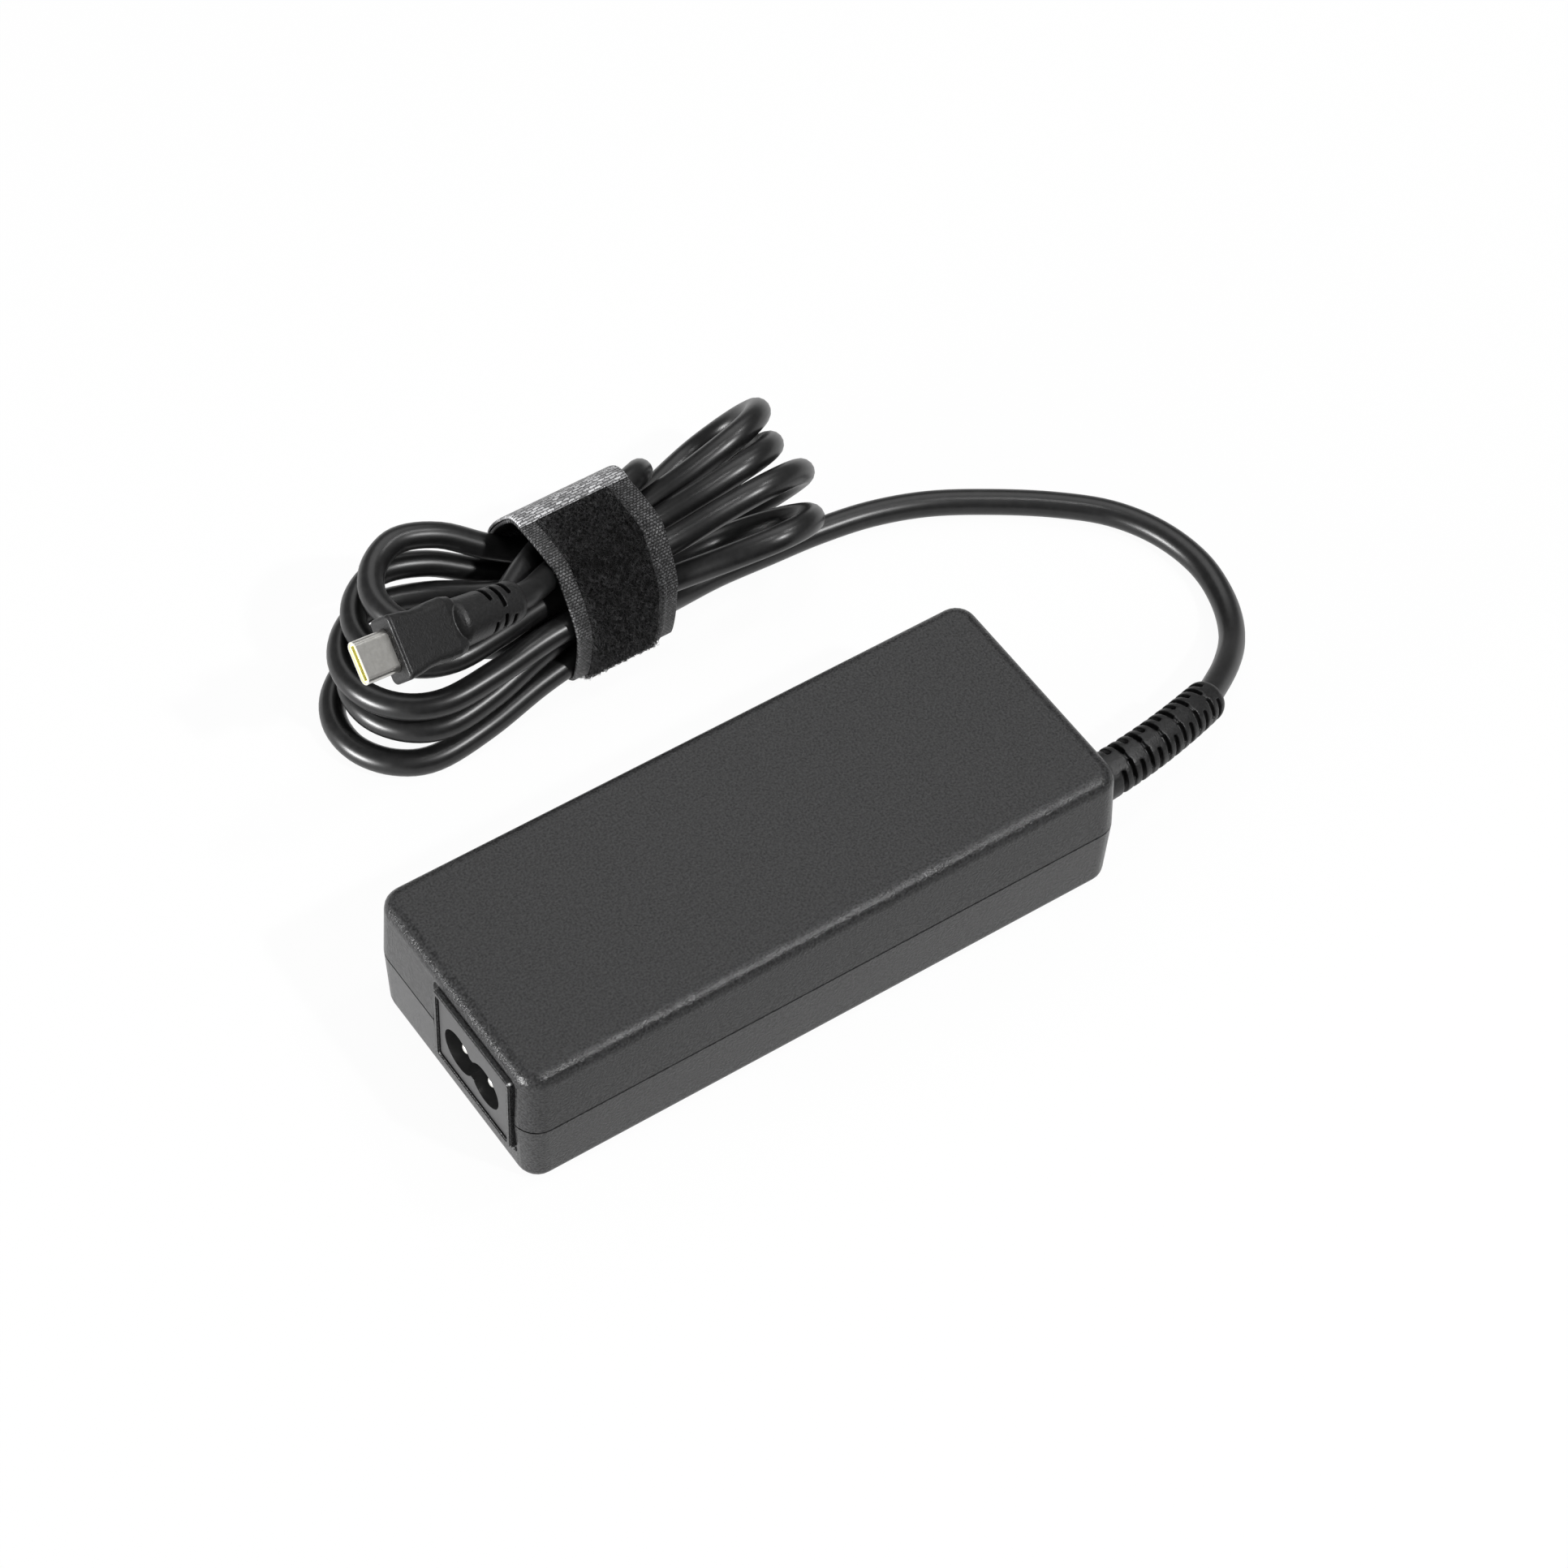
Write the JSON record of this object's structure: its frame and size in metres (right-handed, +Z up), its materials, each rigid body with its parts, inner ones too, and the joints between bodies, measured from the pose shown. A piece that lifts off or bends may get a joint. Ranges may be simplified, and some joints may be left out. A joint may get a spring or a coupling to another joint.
{
  "type": "laptop power adapter",
  "caption": "Slim rectangular laptop power adapter: two-shell case, figure-8 mains inlet, moulded strain relief, and a cord tied in a hank with a USB-C plug.",
  "frame": {"origin": "middle of the case underside, on the surface that it stands on", "axes": "+X along the case from the mains inlet to the cord, +Y across towards the tied cord, +Z up"},
  "size_m": [0.1901, 0.1264, 0.0465],
  "materials": {
    "textured_case": "fine spark texture",
    "inlet_plastic": "satin",
    "plated_pin": "polished",
    "tinned_copper": "satin",
    "circuit_board": "solder mask",
    "ceramic_tube": "matte",
    "blue_coating": "dipped",
    "yellow_box": "satin",
    "copper_winding": "enamelled",
    "black_epoxy": "moulded",
    "capacitor_sleeve": "shrink sleeve",
    "capacitor_can": "satin",
    "bare_aluminium": "rolled",
    "ferrite": "sintered",
    "bobbin_plastic": "moulded",
    "winding_tape": "tape",
    "insulating_film": "matte",
    "wire_jacket": "satin",
    "moulded_rubber": "satin",
    "cord_jacket": "satin",
    "tie_fabric": "hook and loop",
    "plug_metal": "satin",
    "plug_insulator": "satin",
    "gold_contact": "polished"
  },
  "bodies": {
    "root": {"upper_shell": "textured_case", "lower_shell": "textured_case", "ac_inlet": "inlet_plastic", "inlet_pins": "plated_pin", "inlet_leads": "tinned_copper", "main_board": "circuit_board", "fuse": "ceramic_tube", "varistor": "blue_coating", "x_capacitor": "yellow_box", "common_mode_choke": "copper_winding", "bridge_rectifier": "black_epoxy", "bulk_capacitor": "capacitor_sleeve", "primary_switch": "black_epoxy", "primary_heat_sink": "bare_aluminium", "transformer_core": "ferrite", "transformer_bobbin": "bobbin_plastic", "transformer_winding": "winding_tape", "y_capacitor": "blue_coating", "optocoupler": "black_epoxy", "rectifier_switch": "black_epoxy", "secondary_heat_sink": "bare_aluminium", "output_capacitors": "capacitor_can", "output_choke": "copper_winding", "control_board": "circuit_board", "insulating_sleeve": "insulating_film", "heat_spreader": "bare_aluminium", "output_wires": "wire_jacket", "strain_relief": "moulded_rubber", "cord_lead": "cord_jacket", "cord_hank": "cord_jacket", "cord_tail": "cord_jacket", "cord_tie": "tie_fabric", "plug_body": "moulded_rubber", "plug_shell": "plug_metal", "plug_insulator": "plug_insulator", "plug_contacts": "gold_contact"}
  },
  "joints": []
}
